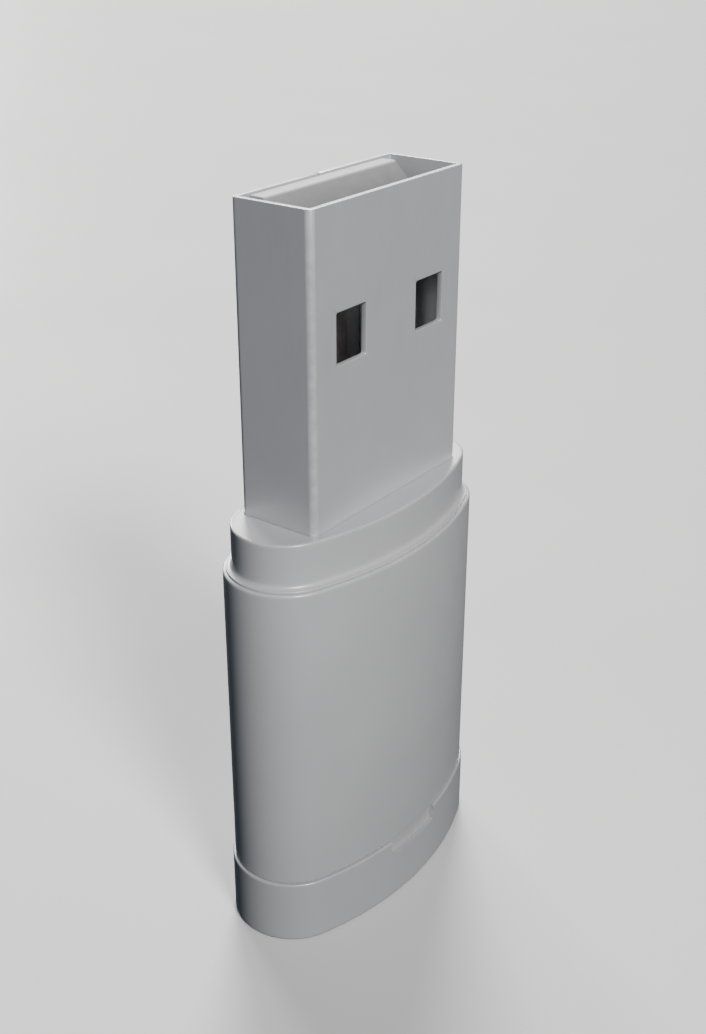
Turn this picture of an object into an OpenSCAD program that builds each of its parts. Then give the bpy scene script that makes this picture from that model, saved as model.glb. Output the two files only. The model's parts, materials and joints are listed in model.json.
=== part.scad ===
// USB microcontroller programmer: a stick that stands on its end, with a standard A plug on top,
// an oval housing round a small circuit board, and a pull-off cap over the target header.
// Millimetres. The origin is the centre of the flat end that it stands on, +Z points to the plug's
// mouth, X runs along the wide side and Y through the thin side, with the plug's open side at -Y.

/* [Plug] */
// Width of the plug's steel shell (standard A plug)
plug_w = 12; // [11.9:0.05:12.1]
// Depth of the plug's steel shell (standard A plug)
plug_d = 4.5; // [4.4:0.05:4.6]
// Length of the shell that stands out of the neck
plug_exposed = 15.3; // [14:0.1:16]
// Whole length of the shell, with the end that is inside the neck
plug_length = 18.8; // [18.4:0.1:19]
// Thickness of the shell's sheet steel
plug_wall = 0.3; // [0.25:0.01:0.32]
// Outside radius of the shell's four long edges
plug_corner = 0.35; // [0.35:0.05:0.6]
// Clear height of the plug's cavity, in front of the tongue
cavity_d = 1.95; // [1.9:0.05:2.05]
// Width of the insulating tongue
tongue_w = 10; // [9.6:0.1:10.6]
// How far the tongue's end lies below the mouth
tongue_recess = 0.1; // [0.05:0.05:0.3]
// Thickness of the tongue at its end, where its contact side slopes back
tongue_tip = 0.75; // [0.6:0.05:1.2]
// Height of that slope
tongue_slope = 1.1; // [0.6:0.1:1.2]

/* [Latch windows] */
// Width of each window
window_w = 2.25; // [2:0.05:2.5]
// Height of each window
window_h = 2.5; // [2:0.1:2.6]
// Distance from the plug's middle to a window's near edge
window_x = 2; // [1.8:0.1:2.2]
// Distance from the mouth to a window's upper edge
window_from_mouth = 4.9; // [4.6:0.1:5.2]

/* [Housing] */
// Width of the sleeve
body_w = 17; // [16.8:0.1:18]
// Depth of the sleeve
body_d = 8.3; // [8.2:0.1:9]
// Radius of the oval's two narrow ends
end_r = 3.1; // [2.9:0.1:3.3]
// Height of the sleeve's ledge above the resting face
ledge_z = 20.8; // [20.6:0.1:21.5]
// Height of the neck above the ledge
neck_h = 2.4; // [2:0.1:2.8]
// Wall of the sleeve, which is also the width of its ledge
sleeve_wall = 0.42; // [0.35:0.01:0.45]
// Width of the collar's flange, which rests on the sleeve's rim
flange_w = 0.28; // [0.2:0.02:0.34]
// Play between housing pieces that stay together
slip = 0.02; // [0.01:0.01:0.04]

/* [End cap] */
// Height of the pull-off end cap
cap_h = 3.7; // [3.3:0.1:3.8]
// How far the cap stands out past the sleeve
cap_proud = 0.12; // [0.05:0.01:0.2]
// Side wall of the cap
cap_wall = 0.7; // [0.6:0.05:0.75]
// Thickness of the cap's flat end
cap_floor = 0.8; // [0.6:0.1:0.9]
// Width of the thumbnail notch in the cap's front rim
thumb_w = 4; // [3:0.1:5]
// Height of that notch
thumb_h = 0.95; // [0.7:0.05:1.1]
// Depth of that notch
thumb_depth = 0.3; // [0.2:0.05:0.4]
// Play between the cap and the spigot that it sits on
cap_play = 0.06; // [0.03:0.01:0.1]
// Gap at the seam between cap and sleeve
seam_gap = 0.04; // [0.02:0.01:0.06]

/* [Target header] */
// Distance between neighbouring pins (standard header)
pin_pitch = 2.54; // [2.54]
// Side of a square pin
pin_side = 0.64; // [0.6:0.02:0.66]
// Mating length of a pin below the header's base
pin_mating = 6; // [5.8:0.1:6]
// Clearance round the header's base, which is also the room for the plug of a target lead
header_room = 0.14; // [0.1:0.02:0.16]

/* [Board] */
// Width of the circuit board
board_w = 13.6; // [13:0.1:13.8]
// Thickness of the circuit board
board_t = 1.6; // [1.5:0.1:1.6]

/* [Hidden] */
$fn = 144;

// Colours
satin_grey = [0.66, 0.67, 0.69];
plated_steel = [0.64, 0.66, 0.69];
tongue_grey = [0.58, 0.59, 0.61];
carrier_grey = [0.30, 0.31, 0.33];
moulded_black = [0.06, 0.06, 0.07];
contact_tin = [0.70, 0.68, 0.65];
tin = [0.72, 0.73, 0.74];
board_green = [0.05, 0.28, 0.16];
fuse_green = [0.10, 0.32, 0.18];
ceramic_tan = [0.62, 0.50, 0.36];

// Gaps: over is how far a cutting shape runs past what it cuts
over = 1;
rest_gap = 0.05;
foot_gap = 0.1;
flange_t = 0.1;

// The oval outline: two end arcs of end_r, and two flat flank arcs that meet them smoothly
end_x = body_w / 2 - end_r;
flank_r = (pow(body_d / 2, 2) + pow(end_x, 2) - pow(end_r, 2)) / (body_d - 2 * end_r);
flank_y = flank_r - body_d / 2;
ray_y = body_d / 2 + over;
ray_x = end_x * (1 + ray_y / flank_y);

// How far each inner outline lies inside the sleeve's own outline
carrier_wall = 0.6;
inner_grow = -(sleeve_wall + slip);
spigot_grow = cap_proud - cap_wall - cap_play;

// Levels, from the resting face up to the plug's mouth
cap_room = 0.4;
board_lift = 0.16;
collar_depth = 4.3;
collar_to_board = 0.3;
shell_to_board = 1.3;
block_h = 6.3;
sleeve_z = cap_h + seam_gap;
spigot_z = cap_floor + cap_room;
header_z = spigot_z + pin_mating;
header_top = header_z + pin_pitch;
board_z = header_top + board_lift;
carrier_top = ledge_z - collar_depth;
board_top = carrier_top - collar_to_board;
neck_z = ledge_z + neck_h;
mouth_z = neck_z + plug_exposed;
shell_z = mouth_z - plug_length;
board_tongue_top = shell_z - shell_to_board;
block_z = shell_z + 2 * foot_gap;
block_top = shell_z + block_h;
window_top = mouth_z - window_from_mouth;

// Plug: its legs, the butt joint of its fold, and the contacts, which are strips along the tongue
leg_w = 1.6;
fold_gap = 0.1;
contact_w = 1;
contact_t = 0.2;
contact_proud = 0.03;
contact_step = 0.8;
contact_tail = 1.6;
power_x = 3.5;
data_x = 1;
power_tip = mouth_z - 1.5;
data_tip = mouth_z - 2.5;
tongue_y = -plug_d / 2 + plug_wall + cavity_d;
bend_z = shell_z - foot_gap;
tail_z = board_tongue_top - contact_tail;

// Target header: two rows of three pins
pins_per_row = 3;
pin_tail = 2.46;
pin_bevel = 0.5;
pin_tip_share = 0.6;
solder_w = 0.9;
solder_z0 = board_z + 0.2;
solder_z1 = board_z + 2;

// Board edges and the carriers that hold them
tongue_board_w = plug_w - 2 * plug_wall - foot_gap;
notch_z = 13;
notch_h = 1;
notch_depth = 0.5;
tab_w = 0.9;
rib_x = board_w / 2 - 0.7;

// Board parts: places are [x, height] and sizes are [width, height, thickness]
middle_z = 14.4;
pad_t = 0.12;
pad_w = 0.24;
pad_l = 0.4;
pads_per_side = 6;
pad_pitch = 0.5;
dot_r = 0.18;
dot_inset = 0.55;
dot_depth = 0.05;
package_lift = 0.08;
lead_t = 0.13;
lead_knee = 0.3;
lead_toe = 0.5;
mcu_at = [0, middle_z];
mcu_size = [4, 4, 0.75];
crystal_at = [-4.5, middle_z];
crystal_base_size = [2.5, 3.2, 0.45];
crystal_lid_size = [2.2, 2.9, 0.25];
crystal_capacitor_at = [-4.5, 11.6];
crystal_capacitor_size = [0.5, 1, 0.5];
crystal_capacitor_pitch = 1.2;
resistor_at = [4.6, 11.4];
resistor_size = [1.6, 0.8, 0.45];
resistor_pitch = 1.3;
regulator_at = [-3.4, middle_z];
regulator_size = [2.9, 1.6, 1.05];
regulator_pitch = 0.95;
buffer_at = [3.3, middle_z];
buffer_size = [3, 2.4, 0.85];
buffer_pitch = 0.65;
fuse_at = [-4.6, 11.3];
fuse_size = [2, 1.25, 0.6];
bulk_at = [4.6, 11.3];
bulk_size = [2, 1.25, 1.25];
decoupling_at = [-0.1, 13.1];
decoupling_size = [1.6, 0.8, 0.8];
decoupling_pitch = 1.25;

// A block of the oval from z0 to z1. grow moves its outline outwards, or inwards when negative.
// The flanks are cut off on rays through the arcs' centres, and a whole cylinder makes each end.
module oval_block(z0, z1, grow = 0) {
  translate([0, 0, z0]) {
    intersection() {
      translate([0, -flank_y, 0]) cylinder(h = z1 - z0, r = flank_r + grow);
      translate([0, flank_y, 0]) cylinder(h = z1 - z0, r = flank_r + grow);
      linear_extrude(z1 - z0) polygon([
        [-end_x, 0], [-ray_x, ray_y], [ray_x, ray_y], [end_x, 0], [ray_x, -ray_y], [-ray_x, -ray_y]
      ]);
    }
    for (side = [-1, 1]) {
      translate([side * end_x, 0, 0]) cylinder(h = z1 - z0, r = end_r + grow);
    }
  }
}

// A rectangle with round corners, centred.
module rounded_rect(w, d, r) {
  square([w - 2 * r, d], center = true);
  square([w, d - 2 * r], center = true);
  for (x = [-1, 1], y = [-1, 1]) {
    translate([x * (w / 2 - r), y * (d / 2 - r)]) circle(r);
  }
}

// A box from z0 to z1, centred on x and y.
module standing_box(w, d, z0, z1) {
  translate([-w / 2, -d / 2, z0]) cube([w, d, z1 - z0]);
}

// Puts parts on the board's front face: x stays, y becomes the height, z stands off the face.
module on_front() {
  translate([0, -board_t / 2, 0]) rotate([90, 0, 0]) children();
}

// The same for the board's rear face.
module on_rear() {
  mirror([0, 1, 0]) on_front() children();
}

// A block on the board, centred on its place.
module board_block(place, size, lift = 0) {
  translate([place.x - size.x / 2, place.y - size.y / 2, lift]) cube(size);
}

// A row of count such blocks, each step along from the one before.
module board_blocks(place, size, count, step) {
  for (i = [0 : count - 1]) {
    board_block(place + i * step, size);
  }
}

// A package with a dimple by its first lead.
module marked_package(place, size, lift) {
  difference() {
    board_block(place, size, lift);
    translate([place.x - size.x / 2 + dot_inset, place.y + size.y / 2 - dot_inset, lift + size.z - dot_depth])
      cylinder(h = over, r = dot_r);
  }
}

// A row of bent leads below a package's edge, which lies at y0. They point along -y.
module lead_row(y0, count, pitch, w, length, top) {
  profile = [
    [0, top], [0, top - lead_t], [lead_knee * length, top - lead_t], [lead_toe * length, 0],
    [length, 0], [length, lead_t], [lead_toe * length + lead_t, lead_t],
    [lead_knee * length + lead_t, top]
  ];
  for (i = [0 : count - 1]) {
    translate([(i - (count - 1) / 2) * pitch + w / 2, y0, 0])
      rotate([0, 0, -90]) rotate([90, 0, 0]) linear_extrude(w) polygon(profile);
  }
}

// Thin sleeve that closes the housing, with its ledge round the neck.
module outer_sleeve() {
  color(satin_grey) difference() {
    oval_block(sleeve_z, ledge_z);
    oval_block(sleeve_z - over, ledge_z + over, -sleeve_wall);
  }
}

// Oval collar round the plug. It reaches down inside the sleeve to the carriers, and its thin
// flange covers the inner part of the ledge.
module neck_collar() {
  color(satin_grey) difference() {
    union() {
      oval_block(carrier_top + rest_gap, neck_z, inner_grow);
      oval_block(ledge_z + slip, ledge_z + slip + flange_t, inner_grow + flange_w);
    }
    translate([0, 0, carrier_top - over]) linear_extrude(neck_z - carrier_top + 2 * over)
      rounded_rect(plug_w + 2 * slip, plug_d + 2 * slip, plug_corner + slip);
  }
}

// Rear half of the carrier: half an oval shell, with a rib and a tab at each edge of the board.
module carrier_half() {
  intersection() {
    oval_block(board_z, carrier_top, inner_grow);
    translate([-body_w / 2, 0, board_z]) cube([body_w, body_d, carrier_top - board_z]);
    union() {
      difference() {
        oval_block(board_z, carrier_top, inner_grow);
        oval_block(board_z - over, carrier_top + over, inner_grow - carrier_wall);
      }
      for (side = [-1, 1]) {
        translate([side * (rib_x + body_w) / 2, (board_t + 2 * slip + body_d) / 2, 0])
          standing_box(body_w - rib_x, body_d, board_z, carrier_top);
        translate([side * (board_w + notch_depth) / 2, body_d / 2, 0])
          standing_box(tab_w, body_d, notch_z + slip, notch_z + notch_h - slip);
      }
    }
  }
}

module rear_carrier() {
  color(carrier_grey) carrier_half();
}

module front_carrier() {
  color(carrier_grey) mirror([0, 1, 0]) carrier_half();
}

// Lower insert: an oval block in the sleeve with a spigot for the cap, hollow round the header.
module header_shroud() {
  room_w = pins_per_row * pin_pitch + 2 * header_room;
  room_d = 2 * pin_pitch + 2 * header_room;
  color(satin_grey) difference() {
    union() {
      oval_block(sleeve_z, board_z - rest_gap, inner_grow);
      oval_block(spigot_z, sleeve_z, spigot_grow);
    }
    standing_box(room_w, room_d, spigot_z - over, board_z + over);
  }
}

// Pull-off cap: a shallow oval cup whose flat end is the resting face. A thumbnail catches in the
// notch that is set into its front rim.
module end_cap() {
  notch_floor = cap_h - thumb_h;
  color(satin_grey) difference() {
    oval_block(0, cap_h, cap_proud);
    oval_block(cap_floor, cap_h + over, cap_proud - cap_wall);
    difference() {
      translate([0, -body_d / 2, 0]) standing_box(thumb_w, body_d, notch_floor, cap_h + over);
      oval_block(notch_floor - over, cap_h + 2 * over, cap_proud - thumb_depth);
    }
  }
}

// Folded steel shell: latch windows in both wide faces, the fold's butt joint at the rear, two legs.
module plug_shell() {
  color(plated_steel) {
    difference() {
      translate([0, 0, shell_z]) linear_extrude(plug_length) difference() {
        rounded_rect(plug_w, plug_d, plug_corner);
        rounded_rect(plug_w - 2 * plug_wall, plug_d - 2 * plug_wall, plug_corner - plug_wall);
      }
      for (side = [-1, 1]) {
        translate([side * (window_x + window_w / 2), 0, 0])
          standing_box(window_w, plug_d + over, window_top - window_h, window_top);
      }
      translate([0, plug_d / 2, 0]) standing_box(fold_gap, over, shell_z - over, mouth_z + over);
    }
    for (side = [-1, 1]) {
      translate([side * (plug_w - plug_wall) / 2, 0, 0])
        standing_box(plug_wall, leg_w, carrier_top + foot_gap, shell_z);
    }
  }
}

// A contact's path seen from the side: down the tongue, back in a step and down the board's front
// face. gap widens it all round the tongue's part, so that it can also cut its own slot.
module contact_strip(x, tip, gap = 0) {
  front = tongue_y - contact_proud;
  face = -board_t / 2;
  path = [
    [front - gap, tip + gap], [front + contact_t + gap, tip + gap],
    [front + contact_t + gap, bend_z], [face, bend_z - contact_step],
    [face, tail_z], [face - contact_t, tail_z],
    [face - contact_t, bend_z - foot_gap - contact_step], [front - gap, bend_z - foot_gap]
  ];
  translate([x - contact_w / 2 - gap, 0, 0])
    rotate([90, 0, 90]) linear_extrude(contact_w + 2 * gap) polygon(path);
}

// Moulded insulator: a block that fills the shell's rear end, and the tongue that carries the contacts.
module plug_tongue() {
  inner_w = plug_w - 2 * plug_wall - 2 * slip;
  inner_d = plug_d - 2 * plug_wall - 2 * slip;
  back = inner_d / 2;
  tongue_end = mouth_z - tongue_recess;
  side_view = [
    [tongue_y, block_top - over], [back, block_top - over], [back, tongue_end],
    [back - tongue_tip, tongue_end], [tongue_y, tongue_end - tongue_slope]
  ];
  color(tongue_grey) difference() {
    union() {
      translate([0, 0, block_z]) linear_extrude(block_top - block_z)
        rounded_rect(inner_w, inner_d, plug_corner - plug_wall);
      translate([-tongue_w / 2, 0, 0])
        rotate([90, 0, 90]) linear_extrude(tongue_w) polygon(side_view);
    }
    for (side = [-1, 1]) {
      contact_strip(side * power_x, power_tip, slip);
      contact_strip(side * data_x, data_tip, slip);
    }
  }
}

module power_contact() {
  color(contact_tin) contact_strip(power_x, power_tip);
}

module data_minus_contact() {
  color(contact_tin) contact_strip(data_x, data_tip);
}

module data_plus_contact() {
  color(contact_tin) contact_strip(-data_x, data_tip);
}

module ground_contact() {
  color(contact_tin) contact_strip(-power_x, power_tip);
}

// Centre of pin i, counted from 1, in rows of pins_per_row with the front row first.
function pin_place(i) = [
  ((i - 1) % pins_per_row - (pins_per_row - 1) / 2) * pin_pitch,
  (floor((i - 1) / pins_per_row) - 0.5) * pin_pitch
];

// A square pin with its lower end bevelled on all four sides.
module header_pin(i) {
  half = pin_side / 2;
  tip = pin_tip_share * half;
  shoulder = spigot_z + pin_bevel;
  top = header_top + pin_tail;
  side_view = [
    [-tip, spigot_z], [tip, spigot_z], [half, shoulder], [half, top], [-half, top], [-half, shoulder]
  ];
  depth = pin_side + 2 * over;
  color(contact_tin) translate([pin_place(i).x, pin_place(i).y, 0]) intersection() {
    translate([0, depth / 2, 0]) rotate([90, 0, 0]) linear_extrude(depth) polygon(side_view);
    translate([-depth / 2, 0, 0]) rotate([90, 0, 90]) linear_extrude(depth) polygon(side_view);
  }
}

// Insulating base that holds the six pins square.
module header_base() {
  color(moulded_black) difference() {
    standing_box(pins_per_row * pin_pitch, 2 * pin_pitch, header_z, header_top);
    for (i = [1 : 2 * pins_per_row]) {
      translate([pin_place(i).x, pin_place(i).y, 0])
        standing_box(pin_side + 2 * slip, pin_side + 2 * slip, header_z - over, header_top + over);
    }
  }
}

// Solder between the pins' tails and the two faces of the board.
module header_solder() {
  depth = (pin_pitch - pin_side - board_t) / 2;
  color(tin) for (i = [1 : 2 * pins_per_row]) {
    translate([pin_place(i).x, sign(pin_place(i).y) * (board_t + depth) / 2, 0])
      standing_box(solder_w, depth, solder_z0, solder_z1);
  }
}

// Two-layer board with a narrower end between the plug's legs, notched for the carriers' tabs.
module circuit_board() {
  color(board_green) difference() {
    union() {
      standing_box(board_w, board_t, board_z, board_top);
      standing_box(tongue_board_w, board_t, board_top - over, board_tongue_top);
    }
    for (side = [-1, 1]) {
      translate([side * board_w / 2, 0, 0])
        standing_box(2 * notch_depth, board_t + over, notch_z, notch_z + notch_h);
    }
  }
}

module microcontroller() {
  color(moulded_black) on_front() marked_package(mcu_at, mcu_size, pad_t);
}

// The pads under the microcontroller's four edges.
module microcontroller_pads() {
  first = [-(pads_per_side - 1) / 2 * pad_pitch, (mcu_size.y - pad_l) / 2];
  color(tin) on_front() translate([mcu_at.x, mcu_at.y, 0]) for (turn = [0 : 90 : 270]) {
    rotate([0, 0, turn]) board_blocks(first, [pad_w, pad_l, pad_t], pads_per_side, [pad_pitch, 0]);
  }
}

module crystal_base() {
  color(ceramic_tan) on_front() board_block(crystal_at, crystal_base_size);
}

module crystal_lid() {
  color(tin) on_front() board_block(crystal_at, crystal_lid_size, crystal_base_size.z);
}

module crystal_capacitors() {
  first = crystal_capacitor_at - [crystal_capacitor_pitch / 2, 0];
  color(ceramic_tan) on_front()
    board_blocks(first, crystal_capacitor_size, 2, [crystal_capacitor_pitch, 0]);
}

module series_resistors() {
  color(moulded_black) on_front() board_blocks(resistor_at, resistor_size, 4, [0, resistor_pitch]);
}

module voltage_regulator() {
  color(moulded_black) on_rear() board_block(regulator_at, regulator_size, package_lift);
}

// Three leads on the lower edge and two on the upper.
module regulator_leads() {
  edge = -regulator_size.y / 2;
  color(tin) on_rear() translate([regulator_at.x, regulator_at.y, 0]) {
    lead_row(edge, 3, regulator_pitch, 0.38, 0.6, 0.65);
    rotate([0, 0, 180]) lead_row(edge, 2, 2 * regulator_pitch, 0.38, 0.6, 0.65);
  }
}

module line_buffer() {
  color(moulded_black) on_rear() marked_package(buffer_at, buffer_size, package_lift);
}

module buffer_leads() {
  color(tin) on_rear() translate([buffer_at.x, buffer_at.y, 0]) for (turn = [0, 180]) {
    rotate([0, 0, turn]) lead_row(-buffer_size.y / 2, 4, buffer_pitch, 0.28, 0.5, 0.55);
  }
}

module resettable_fuse() {
  color(fuse_green) on_rear() board_block(fuse_at, fuse_size);
}

module bulk_capacitor() {
  color(ceramic_tan) on_rear() board_block(bulk_at, bulk_size);
}

module decoupling_capacitors() {
  color(ceramic_tan) on_rear() board_blocks(decoupling_at, decoupling_size, 3, [0, decoupling_pitch]);
}

outer_sleeve();
neck_collar();
front_carrier();
rear_carrier();
header_shroud();
end_cap();
plug_shell();
plug_tongue();
power_contact();
data_minus_contact();
data_plus_contact();
ground_contact();
header_base();
header_pin(1);  // header_pin_1
header_pin(2);  // header_pin_2
header_pin(3);  // header_pin_3
header_pin(4);  // header_pin_4
header_pin(5);  // header_pin_5
header_pin(6);  // header_pin_6
header_solder();
circuit_board();
microcontroller();
microcontroller_pads();
crystal_base();
crystal_lid();
crystal_capacitors();
series_resistors();
voltage_regulator();
regulator_leads();
line_buffer();
buffer_leads();
resettable_fuse();
bulk_capacitor();
decoupling_capacitors();
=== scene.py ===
import json
import math

import bmesh
import bpy
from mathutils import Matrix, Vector


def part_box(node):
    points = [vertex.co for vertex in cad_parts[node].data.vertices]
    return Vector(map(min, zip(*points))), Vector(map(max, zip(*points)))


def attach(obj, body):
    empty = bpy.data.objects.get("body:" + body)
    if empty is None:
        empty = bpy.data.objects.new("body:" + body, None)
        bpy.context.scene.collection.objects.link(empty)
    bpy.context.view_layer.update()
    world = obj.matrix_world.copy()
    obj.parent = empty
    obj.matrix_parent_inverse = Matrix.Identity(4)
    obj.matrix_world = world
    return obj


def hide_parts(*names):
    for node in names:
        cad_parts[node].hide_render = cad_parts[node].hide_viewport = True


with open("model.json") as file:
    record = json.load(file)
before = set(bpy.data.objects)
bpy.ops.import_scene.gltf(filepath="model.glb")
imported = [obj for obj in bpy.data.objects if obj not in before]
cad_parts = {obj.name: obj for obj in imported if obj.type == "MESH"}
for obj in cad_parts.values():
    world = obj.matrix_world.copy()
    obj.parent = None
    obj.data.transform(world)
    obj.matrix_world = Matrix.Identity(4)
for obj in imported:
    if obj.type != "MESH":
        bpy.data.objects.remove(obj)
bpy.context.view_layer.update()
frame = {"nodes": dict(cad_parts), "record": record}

MM = 0.001
TURN = 2 * math.pi
STICK = "programmer"
CAP = "end_cap"

# ------------------------------------------------------------- dimensions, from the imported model
sleeve_lo, sleeve_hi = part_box("outer_sleeve")
collar_lo, collar_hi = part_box("neck_collar")
shroud_lo, shroud_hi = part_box("header_shroud")
cap_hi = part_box("end_cap")[1]
shell_lo, shell_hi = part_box("plug_shell")
header_lo, header_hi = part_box("header_base")
tongue_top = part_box("plug_tongue")[1].z

# What a box can't give: walls and radii that are hidden inside it.
END_R = 3.1 * MM
CAP_WALL = 0.7 * MM
CAP_FLOOR = 0.8 * MM
SPIGOT_PLAY = 0.06 * MM
HEADER_ROOM = 0.14 * MM
PLUG_WALL = 0.3 * MM
PLUG_CORNER = 0.35 * MM
PLUG_LENGTH = 18.8 * MM
SLIP = 0.02 * MM
WINDOW_NEAR = 2 * MM
WINDOW_W = 2.25 * MM
WINDOW_H = 2.5 * MM
WINDOW_FROM_MOUTH = 4.9 * MM
PATCH_MARGIN = 0.5 * MM
LEG_W = 1.6 * MM
SEAM_GAP = 0.1 * MM
DOVETAIL_ABOVE_COLLAR = 5.2 * MM
DOVETAIL_DEPTH = 0.9 * MM
DOVETAIL_NECK = 0.55 * MM
DOVETAIL_FLARE = 0.3 * MM
FLANGE_W = 0.28 * MM
FLANGE_T = 0.1 * MM
THUMB_W = 4 * MM
THUMB_H = 0.95 * MM
THUMB_DEPTH = 0.3 * MM
DIMPLE_INSET = 0.55 * MM

# Small radii of moulded and punched edges.
RIM_R = 0.12 * MM
NECK_R = 0.1 * MM
SEAM_R = 0.07 * MM
BASE_R = 0.14 * MM
INNER_R = 0.04 * MM
WINDOW_R = 0.12 * MM
FLANGE_R = 0.04 * MM
FILLET_R = 0.22 * MM
SHEET_BEVEL = 0.035 * MM
PIN_BEVEL = 0.03 * MM

# How finely curves are divided, and the angle in degrees from which an edge stays sharp.
END_STEPS = 32
FLANK_STEPS = 40
SHARP_ANGLE = 50

# How close two points are that count as one, in a loft and in a CAD node, and two lines in the shell.
SAME_POINT = MM / 10000
SAME_CAD_POINT = MM / 1000
SAME_LINE = MM / 10

# The oval outline: two end arcs of END_R, and two flat flank arcs that meet them smoothly.
end_x = sleeve_hi.x - END_R
flank_r = (sleeve_hi.y**2 + end_x**2 - END_R**2) / (2 * (sleeve_hi.y - END_R))
flank_y = flank_r - sleeve_hi.y
join = math.atan2(flank_y, end_x)
flange_grow = collar_hi.x - sleeve_hi.x
collar_grow = flange_grow - FLANGE_W
sleeve_wall = -collar_grow - SLIP
cap_proud = cap_hi.x - sleeve_hi.x


# ------------------------------------------------------------- outlines, sections and lofts
def oval_ring(grow, z):
    """The oval moved outwards by grow, at height z, anticlockwise from where the +X end begins."""
    arcs = [
        ((end_x, 0), END_R, -join, join, END_STEPS),
        ((0, -flank_y), flank_r, join, math.pi - join, FLANK_STEPS),
        ((-end_x, 0), END_R, math.pi - join, math.pi + join, END_STEPS),
        ((0, flank_y), flank_r, math.pi + join, TURN - join, FLANK_STEPS),
    ]
    ring = []
    for (x, y), radius, start, end, steps in arcs:
        for i in range(steps):
            angle = start + (end - start) * i / steps
            reach = radius + grow
            ring.append(Vector((x + reach * math.cos(angle), y + reach * math.sin(angle), z)))
    return ring


def cap_ring(grow, z, inset=0, steps=12):
    """The same outline with more points at -Y, where the thumbnail notch sets them in by inset."""
    plain = oval_ring(grow, z)
    flank = plain[-FLANK_STEPS:]
    sweep = math.pi / 2 - join
    half = math.asin(THUMB_W / 2 / flank_r)
    outside = round((sweep - half) / (2 * sweep) * FLANK_STEPS)

    def at(t, reach):
        angle = 1.5 * math.pi + half * t
        return Vector((reach * math.cos(angle), flank_y + reach * math.sin(angle), z))

    reach = flank_r + grow
    notch = [at(2 * i / steps - 1, reach - inset) for i in range(steps + 1)]
    notch = [at(-1, reach), *notch, at(1, reach)]
    return plain[:-FLANK_STEPS] + flank[:outside] + notch + flank[FLANK_STEPS - outside + 1:]


def notch_ring(grow, z):
    """The cap's outline where the notch is."""
    return cap_ring(grow, z, THUMB_DEPTH)


OVALS = (oval_ring, cap_ring, notch_ring)


def rect_ring(width, depth, radius, z, corner_steps=8):
    """A rectangle with round corners at height z, with its points in step with the oval's."""
    x, y = width / 2 - radius, depth / 2 - radius
    corners = [Vector((x, -y, z)), Vector((x, y, z)), Vector((-x, y, z)), Vector((-x, -y, z))]
    half = corner_steps // 2
    ring = []
    for side, steps in enumerate((END_STEPS, FLANK_STEPS, END_STEPS, FLANK_STEPS)):
        start, end = corners[side], corners[(side + 1) % 4]
        straight = steps - corner_steps
        for k in range(steps):
            along = min(max((k - half) / straight, 0), 1)
            lean = min(k - half, 0) + max(k - half - straight, 0)
            angle = side * math.pi / 2 + lean / half * math.pi / 4
            ring.append(start.lerp(end, along) + radius * Vector((math.cos(angle), math.sin(angle), 0)))
    return ring


def plug_slot(grow, z):
    """The slot in the collar that the plug's shell goes through."""
    size = 2 * (SLIP + grow)
    return rect_ring(shell_size.x + size, shell_size.y + size, PLUG_CORNER + SLIP + grow, z)


def header_room(grow, z):
    """The opening round the target header."""
    size = 2 * (HEADER_ROOM + grow)
    width, depth = header_hi.x - header_lo.x + size, header_hi.y - header_lo.y + size
    return rect_ring(width, depth, INNER_R + grow, z)


def heading(a, b):
    """The direction in the section from corner a to corner b, and how far it is."""
    if a[0] is b[0] or (a[0] in OVALS and b[0] in OVALS):
        step = Vector((b[1] - a[1], b[2] - a[2]))
        return step.normalized(), step.length
    return Vector((1 if b[0] in OVALS else -1, 0)), MM


def rounded_section(corners, steps=5, hold=0.15 * MM, closed=True):
    """Rounds an anticlockwise section's corners, each (ring, out, z, radius), into points
    (ring, out, z, wear_and_highlight)."""
    points = []
    last = len(corners) - 1
    for i, corner in enumerate(corners):
        ring, out, z, radius = corner
        if radius == 0 or (not closed and i in (0, last)):
            points.append((ring, out, z, 0))
            continue
        here = Vector((out, z))
        back, back_length = heading(corner, corners[i - 1])
        on, on_length = heading(corner, corners[(i + 1) % len(corners)])
        half = back.angle(on) / 2
        reach = radius / math.tan(half)
        centre = here + (back + on).normalized() * radius / math.sin(half)
        sweep = math.pi - 2 * half
        exposed = back.x * on.y < back.y * on.x
        first, final = here + back * reach - centre, here + on * reach - centre
        if back_length > 2 * (reach + hold):
            point = here + back * (reach + hold)
            points.append((ring, point.x, point.y, 0))
        for k in range(steps + 1):
            t = k / steps
            arm = (first * math.sin((1 - t) * sweep) + final * math.sin(t * sweep)) / math.sin(sweep)
            point = centre + arm
            wear_and_highlight = math.sin(math.pi * (0.15 + 0.7 * t)) if exposed else 0
            points.append((ring, point.x, point.y, wear_and_highlight))
        if on_length > 2 * (reach + hold):
            point = here + on * (reach + hold)
            points.append((ring, point.x, point.y, 0))
    return points


def finish_mesh(name, bm, body, slot, replaced=()):
    """Makes bm a smooth-shaded piece that rides on a body and stands for the replaced nodes."""
    bmesh.ops.recalc_face_normals(bm, faces=bm.faces)
    mesh = bpy.data.meshes.new(name)
    bm.to_mesh(mesh)
    bm.free()
    for polygon in mesh.polygons:
        polygon.use_smooth = True
    piece = bpy.data.objects.new(name, mesh)
    bpy.context.scene.collection.objects.link(piece)
    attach(piece, body)
    if replaced:
        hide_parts(*replaced)
    mesh.materials.append(materials[slot])
    return piece


def weigh_normals(piece):
    """Keeps flat faces flat next to small round edges."""
    modifier = piece.modifiers.new("weighted_normals", "WEIGHTED_NORMAL")
    modifier.keep_sharp = True
    modifier.weight = 100


def bevel_edges(piece, width, segments=2, angle=30):
    """Rounds the edges that turn by more than angle, in degrees."""
    bevel = piece.modifiers.new("edges", "BEVEL")
    bevel.width = width
    bevel.segments = segments
    bevel.limit_method = "ANGLE"
    bevel.angle_limit = math.radians(angle)
    weigh_normals(piece)


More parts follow.
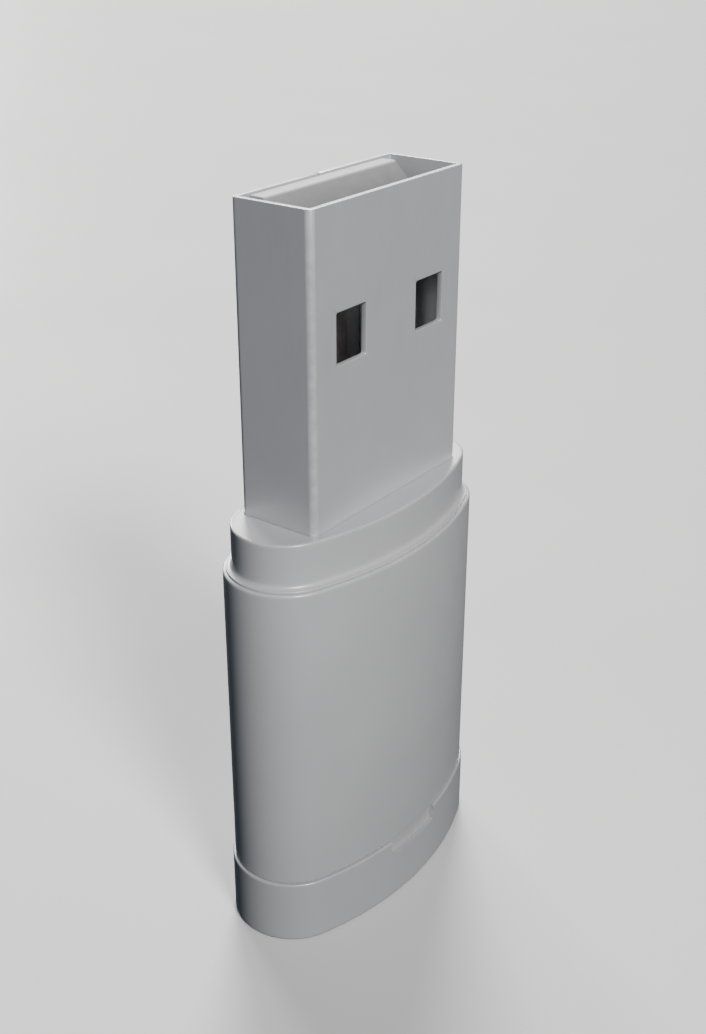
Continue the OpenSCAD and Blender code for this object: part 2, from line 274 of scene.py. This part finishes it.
def loft(name, points, body, slot, replaced=(), closed=True):
    """Joins the rings of a section's points. An open section is filled at its first and last ring."""
    bm = bmesh.new()
    wear_and_highlight = bm.verts.layers.float.new("wear_and_highlight")
    rings = []
    for ring, out, z, amount in points:
        row = [bm.verts.new(place) for place in ring(out, z)]
        for vert in row:
            vert[wear_and_highlight] = amount
        rings.append(row)
    following = rings[1:] + rings[:1] if closed else rings[1:]
    for low, high in zip(rings, following):
        for i in range(len(low)):
            j = (i + 1) % len(low)
            bm.faces.new((low[i], low[j], high[j], high[i]))
    if not closed:
        bm.faces.new(rings[0])
        bm.faces.new(reversed(rings[-1]))
    bmesh.ops.remove_doubles(bm, verts=bm.verts, dist=SAME_POINT)
    bmesh.ops.recalc_face_normals(bm, faces=bm.faces)
    for edge in bm.edges:
        edge.smooth = edge.calc_face_angle(0) < math.radians(SHARP_ANGLE)
    weigh_normals(finish_mesh(name, bm, body, slot, replaced))


# ------------------------------------------------------------- materials
class Surface:
    """A Principled material with short ways to add and join nodes. Textures are in millimetres."""

    def __init__(self, name, **sockets):
        self.material = bpy.data.materials.new(name)
        self.material.use_nodes = True
        self.tree = self.material.node_tree
        self.shader = self.tree.nodes["Principled BSDF"]
        for socket, value in sockets.items():
            self.shader.inputs[socket.replace("_", " ")].default_value = value
        coordinates = self.node("ShaderNodeTexCoord")
        scale = self.node("ShaderNodeVectorMath", operation="SCALE")
        self.join(coordinates.outputs["Object"], scale.inputs[0])
        scale.inputs["Scale"].default_value = 1 / MM
        self.place = scale.outputs[0]

    def node(self, kind, **settings):
        made = self.tree.nodes.new(kind)
        for name, value in settings.items():
            setattr(made, name, value)
        return made

    def join(self, output, target):
        self.tree.links.new(output, target)

    def stretched(self, x, y, z):
        """The place, scaled along each axis."""
        made = self.node("ShaderNodeVectorMath", operation="MULTIPLY")
        self.join(self.place, made.inputs[0])
        made.inputs[1].default_value = (x, y, z)
        return made.outputs[0]

    def along(self, axis):
        """The place along X, Y or Z, which are 0, 1 and 2."""
        split = self.node("ShaderNodeSeparateXYZ")
        self.join(self.place, split.inputs[0])
        return split.outputs[axis]

    def distance(self, point):
        """How far the place is from a point in metres."""
        made = self.node("ShaderNodeVectorMath", operation="DISTANCE")
        self.join(self.place, made.inputs[0])
        made.inputs[1].default_value = point / MM
        return made.outputs["Value"]

    def noise(self, scale, detail=2, roughness=0.5, place=None):
        """Noise with scale waves per millimetre."""
        made = self.node("ShaderNodeTexNoise")
        made.inputs["Scale"].default_value = scale
        made.inputs["Detail"].default_value = detail
        made.inputs["Roughness"].default_value = roughness
        self.join(place or self.place, made.inputs["Vector"])
        return made.outputs["Fac"]

    def range(self, value, low, high, start=0.3, end=0.7):
        """Maps a value from start..end to low..high, clamped."""
        made = self.node("ShaderNodeMapRange")
        self.join(value, made.inputs["Value"])
        for name, number in (("From Min", start), ("From Max", end), ("To Min", low), ("To Max", high)):
            made.inputs[name].default_value = number
        return made.outputs["Result"]

    def math(self, operation, a, b):
        made = self.node("ShaderNodeMath", operation=operation)
        for socket, value in zip(made.inputs, (a, b)):
            if isinstance(value, (int, float)):
                socket.default_value = value
            else:
                self.join(value, socket)
        return made.outputs[0]

    def mix(self, factor, a, b):
        """A colour mix; a and b are colours or outputs."""
        made = self.node("ShaderNodeMix", data_type="RGBA")
        self.join(factor, made.inputs["Factor"])
        for name, value in (("A", a), ("B", b)):
            socket = next(one for one in made.inputs if one.name == name and one.type == "RGBA")
            if isinstance(value, tuple):
                socket.default_value = (*value, 1)
            else:
                self.join(value, socket)
        return next(one for one in made.outputs if one.type == "RGBA")

    def wear_and_highlight(self):
        """How exposed an edge is, from 0 on flats to 1 on rounded edges, broken up by noise: a mask for wear,
        and on the plug's bends also for a painted highlight.
        """
        made = self.node("ShaderNodeAttribute", attribute_name="wear_and_highlight")
        patches = self.range(self.noise(1.7, 4, 0.6), 0, 1, 0.4, 0.62)
        return self.math("MULTIPLY", made.outputs["Fac"], patches)

    def bump(self, height, distance, after=None):
        """A bumped normal. It can add to the normal of another bump."""
        made = self.node("ShaderNodeBump")
        made.inputs["Distance"].default_value = distance
        self.join(height, made.inputs["Height"])
        if after is not None:
            self.join(after, made.inputs["Normal"])
        return made.outputs["Normal"]

    def set(self, colour, roughness, normal):
        """Joins the three outputs to the shader and hands over the finished material."""
        for name, output in (("Base Color", colour), ("Roughness", roughness), ("Normal", normal)):
            self.join(output, self.shader.inputs[name])
        return self.material


def shade(colour, factor):
    """The colour made lighter or darker."""
    return tuple(channel * factor for channel in colour)


def satin_plastic(name, colour, roughness=0.345, grain=0.0016 * MM, painted_fade=0.0):
    """Satin moulded plastic: fine spark-eroded grain, faint flow variation and polished edges.
    painted_fade is how much darker the housing is painted at its seam and below than at its ledge and above:
    painted shade for light that falls off towards the base."""
    look = Surface(name, Specular_IOR_Level=0.85)
    broad = look.range(look.noise(0.16, 3), 0, 1)
    handled = look.noise(0.9, 5, 0.62)
    body = look.mix(broad, shade(colour, 0.965), shade(colour, 1.03))
    wear_and_highlight = look.wear_and_highlight()
    tint = look.mix(wear_and_highlight, body, shade(colour, 1.09))
    # Painted shade: the colour is painted darker from the ledge down to the cap's seam, and stays darker
    # below it.
    painted_fade_factor = look.range(look.along(2), 1 - painted_fade, 1, cap_hi.z / MM, sleeve_hi.z / MM)
    tint = look.mix(painted_fade_factor, (0.0, 0.0, 0.0), tint)
    rough = look.range(handled, roughness - 0.035, roughness + 0.045)
    rough = look.math("SUBTRACT", rough, look.math("MULTIPLY", wear_and_highlight, 0.09))
    waves = look.bump(look.noise(0.45, 2), 0.004 * MM)
    fine = look.bump(look.noise(11, 4, 0.55), grain, waves)
    return look.set(tint, rough, fine)


def tongue_plastic(name, colour, top):
    """Moulded plastic, painted light at its end at height top, with a band of painted shade in the cavity
    below it.
    """
    look = Surface(name, Specular_IOR_Level=0.4)
    height, top = look.along(2), top / MM
    # Painted light and shade: full colour at the end, painted shade from just below it that is deepest from
    # about 1.2 mm down, and full colour again by 4.2 mm below the end. The light factor is this painted
    # shading plus a faint random cloud of tone.
    end = look.range(height, 0.42, 1, top - 0.09, top - 0.03)
    painted_cavity_shade = look.range(height, 0.5, 1, top - 1.2, top - 0.1)
    below_painted_shade = look.range(height, 1, 0, top - 4.2, top - 1.5)
    cloud = look.range(look.noise(0.9, 4), 0, 0.06)
    light = look.math("ADD", look.math("MAXIMUM", look.math("MULTIPLY", end, painted_cavity_shade), below_painted_shade), cloud)
    tint = look.mix(light, (0.02, 0.02, 0.022), colour)
    rough = look.range(look.noise(1.3, 4), 0.44, 0.54)
    return look.set(tint, rough, look.bump(look.noise(11, 4, 0.55), 0.0016 * MM))


def nickel_plate(name, colour, metallic=0.55, roughness=0.4):
    """Satin nickel plating on folded sheet steel, with faint rolling lines along the stick, and bends painted
    lighter: partly wear, partly a painted highlight.
    """
    look = Surface(name, Metallic=metallic)
    broad = look.range(look.noise(0.22, 3), 0, 1)
    rolled = look.noise(1, 4, 0.6, look.stretched(9, 9, 0.35))
    body = look.mix(broad, shade(colour, 0.96), shade(colour, 1.03))
    streaked = look.mix(look.range(rolled, 0, 0.5), body, shade(colour, 1.05))
    wear_and_highlight = look.wear_and_highlight()
    # Painted highlight and wear: the shell's bends are painted lighter, and made a little smoother.
    streaked = look.mix(wear_and_highlight, streaked, shade(colour, 1.22))
    rough = look.range(rolled, roughness - 0.035, roughness + 0.045)
    rough = look.math("SUBTRACT", rough, look.math("MULTIPLY", wear_and_highlight, 0.07))
    cloudy = look.math("ADD", rough, look.range(look.noise(1.1, 4), -0.03, 0.03))
    lines = look.bump(rolled, 0.0007 * MM)
    fine = look.bump(look.noise(16, 3), 0.0008 * MM, lines)
    return look.set(streaked, cloudy, fine)


def plated_metal(name, colour, roughness=0.28):
    """Thin bright tin plating."""
    look = Surface(name, Metallic=1.0)
    patches = look.range(look.noise(1.5, 4), 0, 1)
    tint = look.mix(patches, shade(colour, 0.9), shade(colour, 1.05))
    rough = look.range(look.noise(4, 4), roughness - 0.06, roughness + 0.1)
    return look.set(tint, rough, look.bump(look.noise(9, 3), 0.0012 * MM))


def matte_moulding(name, colour, roughness=0.55, grain=0.003 * MM):
    """Filled moulding compound: matt, with a fine even grain."""
    look = Surface(name, Specular_IOR_Level=0.45)
    tint = look.mix(look.range(look.noise(1.2, 4), 0, 1), shade(colour, 0.88), shade(colour, 1.12))
    rough = look.range(look.noise(2.4, 4), roughness - 0.06, roughness + 0.07)
    return look.set(tint, rough, look.bump(look.noise(14, 4), grain))


def chip_with_ends(name, node, axis, end, colour):
    """A chip part's matt body, with a tinned cap of length end at both ends of its node along an axis."""
    look = Surface(name, Specular_IOR_Level=0.45)
    low, high = (corner[axis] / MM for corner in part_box(node))
    place, edge = look.along(axis), 0.02
    first = look.range(place, 1, 0, low + end - edge, low + end + edge)
    second = look.range(place, 0, 1, high - end - edge, high - end + edge)
    tinned = look.math("MAXIMUM", first, second)
    look.join(tinned, look.shader.inputs["Metallic"])
    body = look.mix(look.range(look.noise(1.2, 4), 0, 1), shade(colour, 0.88), shade(colour, 1.12))
    tint = look.mix(tinned, body, (0.62, 0.62, 0.61))
    rough = look.range(look.noise(2.4, 4), 0.45, 0.58)
    rough = look.math("SUBTRACT", rough, look.math("MULTIPLY", tinned, 0.16))
    grain = look.bump(look.noise(14, 4), 0.003 * MM)
    return look.set(tint, rough, look.bump(tinned, 0.02 * MM, grain))


def chip_with_dot(name, point, colour):
    """Moulding compound, smoother in the dimple that marks the first lead's corner."""
    look = Surface(name, Specular_IOR_Level=0.45)
    dot = look.range(look.distance(point), 1, 0, 0.17, 0.21)
    body = look.mix(look.range(look.noise(1.2, 4), 0, 1), shade(colour, 0.88), shade(colour, 1.12))
    tint = look.mix(dot, body, shade(colour, 3))
    rough = look.math("SUBTRACT", look.range(look.noise(2.4, 4), 0.5, 0.63), look.math("MULTIPLY", dot, 0.2))
    return look.set(tint, rough, look.bump(look.noise(14, 4), 0.003 * MM))


def solder_mask(name, colour):
    """Green solder mask over copper tracks and glass weave."""
    look = Surface(name, Specular_IOR_Level=0.5, Coat_Weight=0.3, Coat_Roughness=0.15)
    tracks = look.node("ShaderNodeTexBrick", offset=0.5)
    look.join(look.place, tracks.inputs["Vector"])
    tracks.inputs["Scale"].default_value = 0.9
    tracks.inputs["Mortar Size"].default_value = 0.05
    track = tracks.outputs["Fac"]
    tint = look.mix(track, shade(colour, 0.9), shade(colour, 1.5))
    weave = look.bump(look.noise(6, 2), 0.002 * MM)
    return look.set(tint, look.range(look.noise(2, 3), 0.28, 0.4), look.bump(track, 0.02 * MM, weave))


CHIP_BLACK = (0.016, 0.016, 0.018)
CERAMIC = (0.36, 0.25, 0.15)
materials = {
    "sleeve": satin_plastic("sleeve_plastic", (0.405, 0.41, 0.425), painted_fade=0.2),
    "collar": satin_plastic("collar_plastic", (0.41, 0.415, 0.43)),
    # The cap's colour is a shade darker than the sleeve's: painted shade towards the base, on top of
    # painted_fade.
    "cap": satin_plastic("cap_plastic", (0.395, 0.40, 0.415), painted_fade=0.2),
    "plug_steel": nickel_plate("plug_nickel", (0.495, 0.505, 0.525), 0.3),
    "tongue": tongue_plastic("tongue_plastic", (0.46, 0.46, 0.465), tongue_top),
    "contact_tin": plated_metal("contact_tin", (0.60, 0.575, 0.54), 0.36),
    "header_black": matte_moulding("header_black", (0.02, 0.02, 0.022), 0.5),
    "carrier": satin_plastic("carrier_plastic", (0.10, 0.10, 0.11), 0.5),
    "board": solder_mask("board_mask", (0.01, 0.12, 0.055)),
    "chip_black": matte_moulding("chip_black", CHIP_BLACK),
    "ceramic": matte_moulding("crystal_ceramic", CERAMIC, 0.45),
    "fuse_green": matte_moulding("fuse_green", (0.03, 0.14, 0.06), 0.5),
    "solder": plated_metal("solder_tin", (0.62, 0.62, 0.61), 0.34),
}


# ------------------------------------------------------------- housing
shell_size = shell_hi - shell_lo
spigot_grow = cap_proud - CAP_WALL - SPIGOT_PLAY
flange_z = sleeve_hi.z + SLIP
thumb_z = cap_hi.z - THUMB_H
core = -END_R * 0.75  # an inner ring on the cap's two flat faces

loft(
    "sleeve_shell",
    rounded_section([
        (oval_ring, 0, sleeve_lo.z, SEAM_R),
        (oval_ring, 0, sleeve_hi.z, RIM_R),
        (oval_ring, -sleeve_wall, sleeve_hi.z, INNER_R),
        (oval_ring, -sleeve_wall, sleeve_lo.z, INNER_R),
    ]),
    STICK, "sleeve", ["outer_sleeve"],
)

loft(
    "neck_collar_moulding",
    rounded_section([
        (oval_ring, collar_grow, collar_lo.z, INNER_R),
        (oval_ring, collar_grow, flange_z, 0),
        (oval_ring, flange_grow, flange_z, 0),
        (oval_ring, flange_grow, flange_z + FLANGE_T, FLANGE_R),
        (oval_ring, collar_grow, flange_z + FLANGE_T, FILLET_R),
        (oval_ring, collar_grow, collar_hi.z, NECK_R),
        (plug_slot, 0, collar_hi.z, INNER_R),
        (plug_slot, 0, collar_lo.z, INNER_R),
    ]),
    STICK, "collar", ["neck_collar"],
)

loft(
    "header_shroud_moulding",
    rounded_section([
        (oval_ring, spigot_grow, shroud_lo.z, 2 * INNER_R),
        (oval_ring, spigot_grow, sleeve_lo.z, 0),
        (oval_ring, collar_grow, sleeve_lo.z, INNER_R),
        (oval_ring, collar_grow, shroud_hi.z, INNER_R),
        (header_room, 0, shroud_hi.z, INNER_R),
        (header_room, 0, shroud_lo.z, 2 * INNER_R),
    ]),
    STICK, "collar", ["header_shroud"],
)

loft(
    "end_cap_moulding",
    rounded_section([
        (cap_ring, core, 0, 0),
        (cap_ring, cap_proud, 0, BASE_R),
        (cap_ring, cap_proud, thumb_z, 0),
        (notch_ring, cap_proud, thumb_z, 0),
        (notch_ring, cap_proud, cap_hi.z, SEAM_R),
        (cap_ring, cap_proud - CAP_WALL, cap_hi.z, INNER_R),
        (cap_ring, cap_proud - CAP_WALL, CAP_FLOOR, 3 * INNER_R),
        (cap_ring, core, CAP_FLOOR, 0),
    ], closed=False),
    CAP, "cap", ["end_cap"], closed=False,
)


# ------------------------------------------------------------- plug shell, folded from sheet
def shell_lines():
    """The vertical lines of the folded sheet, anticlockwise from the seam: (point, outward normal)."""
    half_w, half_d = shell_size.x / 2, shell_size.y / 2
    flat_x, flat_y = half_w - PLUG_CORNER, half_d - PLUG_CORNER
    patch_near, patch_far = WINDOW_NEAR - PATCH_MARGIN, WINDOW_NEAR + WINDOW_W + PATCH_MARGIN
    stops = [-SEAM_GAP / 2, -patch_near, -patch_far, -flat_x]
    lines = [(Vector((x, half_d)), Vector((0, 1))) for x in stops]
    lines += corner_lines(-flat_x, flat_y, math.pi / 2)
    lines += [(Vector((-half_w, y)), Vector((-1, 0))) for y in (flat_y, LEG_W / 2, -LEG_W / 2, -flat_y)]
    lines += corner_lines(-flat_x, -flat_y, math.pi)
    front = [-flat_x, -patch_far, -patch_near, patch_near, patch_far, flat_x]
    lines += [(Vector((x, -half_d)), Vector((0, -1))) for x in front]
    lines += corner_lines(flat_x, -flat_y, 1.5 * math.pi)
    lines += [(Vector((half_w, y)), Vector((1, 0))) for y in (-flat_y, -LEG_W / 2, LEG_W / 2, flat_y)]
    lines += corner_lines(flat_x, flat_y, 0)
    lines += [(Vector((-x, half_d)), Vector((0, 1))) for x in reversed(stops)]
    return lines


def corner_lines(x, y, start, steps=6):
    """The lines between the ends of a quarter bend about (x, y)."""
    lines = []
    for i in range(1, steps):
        angle = start + math.pi / 2 * i / steps
        normal = Vector((math.cos(angle), math.sin(angle)))
        lines.append((Vector((x, y)) + PLUG_CORNER * normal, normal))
    return lines


def window_outline(x, z, steps=4):
    """A window's outline round its centre (x, z): four corners of steps + 1 points, from the upper
    right."""
    half_w, half_h = WINDOW_W / 2 - WINDOW_R, WINDOW_H / 2 - WINDOW_R
    corners = []
    for quarter, (side_x, side_z) in enumerate([(1, 1), (-1, 1), (-1, -1), (1, -1)]):
        arc = []
        for i in range(steps + 1):
            angle = (quarter + i / steps) * math.pi / 2
            reach_x, reach_z = WINDOW_R * math.cos(angle), WINDOW_R * math.sin(angle)
            arc.append((x + side_x * half_w + reach_x, z + side_z * half_h + reach_z))
        corners.append(arc)
    return corners


def seam_path(side):
    """One edge of the fold's seam, (x, z) from below the dovetail to above it. side is -1 or 1."""
    z = collar_hi.z + DOVETAIL_ABOVE_COLLAR
    gap = side * SEAM_GAP / 2
    near, far = DOVETAIL_NECK + gap, DOVETAIL_NECK + DOVETAIL_FLARE + gap
    deep = gap - DOVETAIL_DEPTH
    return [(gap, z - near), (deep, z - far), (deep, z + far), (gap, z + near)]


def plug_shell_mesh():
    """The sheet's outer skin: its points with their normals, and the cells between them."""
    lines = shell_lines()
    mouth, foot = shell_hi.z, shell_hi.z - PLUG_LENGTH
    window_z = mouth - WINDOW_FROM_MOUTH - WINDOW_H / 2
    patch_half = WINDOW_H / 2 + PATCH_MARGIN
    levels = [shell_lo.z, foot, window_z - patch_half, window_z + patch_half, mouth]
    skin = {}
    for i, (point, normal) in enumerate(lines):
        for k, z in enumerate(levels):
            skin[i, k] = (Vector((point.x, point.y, z)), Vector((normal.x, normal.y, 0)))
    cells = []
    for i in range(len(lines) - 1):
        narrow = abs((lines[i][0] + lines[i + 1][0]).y / 2) < SAME_LINE
        if narrow:
            cells.append([(i, 0), (i + 1, 0), (i + 1, 1), (i, 1)])
        for k in range(1, len(levels) - 1):
            middle = (lines[i][0] + lines[i + 1][0]) / 2
            window_x = abs(middle.x) - WINDOW_NEAR - WINDOW_W / 2
            if k == 2 and abs(window_x) < SAME_LINE and abs(middle.y) > MM:
                cells += window_cells(skin, i, k, middle, window_z, lines[i][1])
                continue
            cells.append([(i, k), (i + 1, k), (i + 1, k + 1), (i, k + 1)])
    add_dovetail(skin, cells, len(lines) - 1)
    return skin, cells


def window_cells(skin, i, k, middle, window_z, normal):
    """The cells between a patch's four corners and the window in it."""
    corners = window_outline(middle.x, window_z)
    outward = Vector((normal.x, normal.y, 0))
    for corner, arc in enumerate(corners):
        for j, (x, z) in enumerate(arc):
            skin["window", i, corner, j] = (Vector((x, middle.y, z)), outward)
    left, right = (i, i + 1) if skin[i, k][0].x < skin[i + 1, k][0].x else (i + 1, i)
    patch = [(right, k + 1), (left, k + 1), (left, k), (right, k)]
    cells = []
    for corner in range(4):
        arc = [("window", i, corner, j) for j in range(len(corners[corner]))]
        for a, b in zip(arc, arc[1:]):
            cells.append([patch[corner], b, a])
        following = (corner + 1) % 4
        cells.append([patch[corner], patch[following], ("window", i, following, 0), arc[-1]])
    return cells


def add_dovetail(skin, cells, last):
    """Puts the dovetail's points into the two cells that meet at the seam, below the windows."""
    for line, side in ((0, -1), (last, 1)):
        keys = []
        for j, (x, z) in enumerate(seam_path(side)):
            keys.append(("seam", side, j))
            skin[keys[-1]] = (Vector((x, shell_size.y / 2, z)), Vector((0, 1, 0)))
        for cell in cells:
            if (line, 1) in cell and (line, 2) in cell:
                low, high = cell.index((line, 1)), cell.index((line, 2))
                if (low + 1) % len(cell) == high:
                    cell[low + 1:low + 1] = keys
                else:
                    cell[high + 1:high + 1] = list(reversed(keys))


def folded_sheet(name, skin, cells, body, slot, replaced):
    """Gives a skin its thickness: an outer and an inner copy, joined along the open edges."""
    bm = bmesh.new()
    wear_and_highlight = bm.verts.layers.float.new("wear_and_highlight")
    outer = {key: bm.verts.new(point) for key, (point, normal) in skin.items()}
    inner = {key: bm.verts.new(point - PLUG_WALL * normal) for key, (point, normal) in skin.items()}
    for key, (point, normal) in skin.items():
        # Full weight on the bends: wear, and a painted highlight along the shell's corners.
        outer[key][wear_and_highlight] = 2 * abs(normal.x * normal.y)
    uses = {}
    for cell in cells:
        bm.faces.new([outer[key] for key in cell])
        bm.faces.new([inner[key] for key in reversed(cell)])
        for a, b in zip(cell, cell[1:] + cell[:1]):
            edge = frozenset((a, b))
            uses[edge] = uses.get(edge, []) + [(a, b)]
    for found in uses.values():
        if len(found) == 1:
            a, b = found[0]
            bm.faces.new((outer[a], inner[a], inner[b], outer[b]))
    loose = [vert for vert in bm.verts if not vert.link_faces]
    bmesh.ops.delete(bm, geom=loose, context="VERTS")
    piece = finish_mesh(name, bm, body, slot, replaced)
    bevel_edges(piece, SHEET_BEVEL, angle=SHARP_ANGLE)


skin, cells = plug_shell_mesh()
folded_sheet("plug_shell_steel", skin, cells, STICK, "plug_steel", ["plug_shell"])


# ------------------------------------------------------------- CAD nodes that keep their shape
def refine(node, width, segments=2):
    """Merges the node's split vertices and flat triangles, and rounds its edges slightly."""
    piece = frame["nodes"][node]
    weld = piece.modifiers.new("weld", "WELD")
    weld.merge_threshold = SAME_CAD_POINT
    flat = piece.modifiers.new("flats", "DECIMATE")
    flat.decimate_type = "DISSOLVE"
    flat.angle_limit = math.radians(1)
    bevel_edges(piece, width, segments)


# How wide the nodes' rounded edges are, in millimetres.
BEVELS = {
    "plug_tongue": 0.06, "power_contact": 0.02, "data_minus_contact": 0.02, "data_plus_contact": 0.02,
    "ground_contact": 0.02, "header_base": 0.12, "header_solder": 0.05, "circuit_board": 0.04,
    "microcontroller": 0.02, "microcontroller_pads": 0.015, "crystal_base": 0.06, "crystal_lid": 0.08,
    "crystal_capacitors": 0.05, "series_resistors": 0.04, "voltage_regulator": 0.06, "regulator_leads": 0.015,
    "line_buffer": 0.02, "buffer_leads": 0.015, "resettable_fuse": 0.05, "bulk_capacitor": 0.07,
    "decoupling_capacitors": 0.06,
}
# The chip parts' long axis, the length of their tinned ends in millimetres, and their body's colour.
ENDS = {
    "series_resistors": (0, 0.3, CHIP_BLACK), "crystal_capacitors": (2, 0.22, CERAMIC),
    "decoupling_capacitors": (0, 0.34, CERAMIC), "bulk_capacitor": (0, 0.42, CERAMIC),
    "resettable_fuse": (0, 0.36, (0.03, 0.14, 0.06)),
}
own_materials = {}
for node, (axis, end, colour) in ENDS.items():
    own_materials[node] = chip_with_ends(node + "_ends", node, axis, end, colour)
chip_lo, chip_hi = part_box("microcontroller")
first_lead = Vector((chip_lo.x + DIMPLE_INSET, chip_lo.y, chip_hi.z - DIMPLE_INSET))
own_materials["microcontroller"] = chip_with_dot("microcontroller_dot", first_lead, CHIP_BLACK)
buffer_lo, buffer_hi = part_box("line_buffer")
first_lead = Vector((buffer_lo.x + DIMPLE_INSET, buffer_hi.y, buffer_hi.z - DIMPLE_INSET))
own_materials["line_buffer"] = chip_with_dot("line_buffer_dot", first_lead, CHIP_BLACK)

for subpart in frame["record"]["subparts"]:
    node, slot = subpart["node"], subpart["material_slot"]
    piece = frame["nodes"][node]
    if piece.hide_render:
        continue
    piece.data.materials.clear()
    piece.data.materials.append(own_materials.get(node, materials[slot]))
    if node in BEVELS:
        refine(node, BEVELS[node] * MM)
    elif node.startswith("header_pin"):
        refine(node, PIN_BEVEL)


# ------------------------------------------------------------- camera, lights and floor
def back_towards(azimuth, elevation):
    """The direction from the object to a viewer. Azimuth 0 is at -Y and looks along +Y."""
    a, e = math.radians(azimuth), math.radians(elevation)
    return Vector((math.sin(a) * math.cos(e), -math.cos(a) * math.cos(e), math.sin(e)))


def aim(thing, position, target):
    """Puts a camera or a light at a position and points it at the target."""
    thing.location = position
    thing.rotation_mode = "QUATERNION"
    thing.rotation_quaternion = (target - position).to_track_quat("-Z", "Y")


CAMERA_AZIMUTH = -53.36
CAMERA_ELEVATION = 25.95
CAMERA_DISTANCE = 70.2 * MM
CAMERA_TARGET = Vector((0, 0, 21.3 * MM))
camera = bpy.data.objects.new("camera", bpy.data.cameras.new("camera"))
bpy.context.scene.collection.objects.link(camera)
camera.data.lens = 47.75
camera.data.sensor_width = 36
camera.data.clip_start = 5 * MM
camera.data.clip_end = 10
aim(camera, CAMERA_TARGET + CAMERA_DISTANCE * back_towards(CAMERA_AZIMUTH, CAMERA_ELEVATION), CAMERA_TARGET)
bpy.context.scene.camera = camera


def soft_sun(name, azimuth, elevation, spread, strength, colour):
    """A far, large and soft light: spread is how wide it looks from the object, in degrees."""
    light = bpy.data.objects.new(name, bpy.data.lights.new(name, "SUN"))
    bpy.context.scene.collection.objects.link(light)
    light.data.angle = math.radians(spread)
    light.data.energy = strength
    light.data.color = colour
    aim(light, back_towards(azimuth, elevation), Vector((0, 0, 0)))


soft_sun("key_light", -26, 36, 16, 5.1, (1.0, 0.985, 0.965))
soft_sun("back_light", 127, 42, 20, 4.8, (1.0, 0.995, 0.98))
soft_sun("side_light", -94, 20, 24, 0.13, (0.36, 0.66, 1.0))
soft_sun("rim_light", 150, 14, 14, 3.0, (1.0, 0.98, 0.97))

world = bpy.data.worlds.new("studio")
bpy.context.scene.world = world
world.use_nodes = True
world.node_tree.nodes["Background"].inputs["Color"].default_value = (0.74, 0.86, 1.0, 1)
world.node_tree.nodes["Background"].inputs["Strength"].default_value = 0.042


def floor_material():
    """Pale paper with a faint mottle and grain."""
    look = Surface("floor_paper", Specular_IOR_Level=0.3)
    tint = look.mix(look.range(look.noise(0.02, 3), 0, 1), (0.52, 0.52, 0.525), (0.54, 0.54, 0.545))
    rough = look.range(look.noise(0.05, 3), 0.55, 0.62)
    return look.set(tint, rough, look.bump(look.noise(3, 3), 0.004 * MM))


def make_floor(flat=1.6, curve=0.4, wall=1.6, steps=96, curve_steps=12):
    """A round sheet of paper that curves up into a wall, so that every side has a plain background.
    It is flat up to radius flat, then bends with radius curve up to height wall."""
    outline = [(flat * share, 0) for share in (0.02, 0.1, 0.3, 0.65, 1)]
    for i in range(1, curve_steps + 1):
        angle = i / curve_steps * math.pi / 2
        outline.append((flat + curve * math.sin(angle), curve * (1 - math.cos(angle))))
    outline.append((flat + curve, wall))
    bm = bmesh.new()
    around = [(math.cos(TURN * i / steps), math.sin(TURN * i / steps)) for i in range(steps)]
    rings = [[bm.verts.new((r * x, r * y, z)) for x, y in around] for r, z in outline]
    bm.faces.new(rings[0])
    for inner, outer in zip(rings, rings[1:]):
        for i in range(steps):
            j = (i + 1) % steps
            bm.faces.new((inner[i], outer[i], outer[j], inner[j]))
    mesh = bpy.data.meshes.new("floor")
    bm.to_mesh(mesh)
    bm.free()
    for polygon in mesh.polygons:
        polygon.use_smooth = True
    mesh.materials.append(floor_material())
    floor = bpy.data.objects.new("floor", mesh)
    bpy.context.scene.collection.objects.link(floor)
    floor.visible_diffuse = False
    floor.visible_glossy = False
    floor.visible_shadow = False


make_floor()
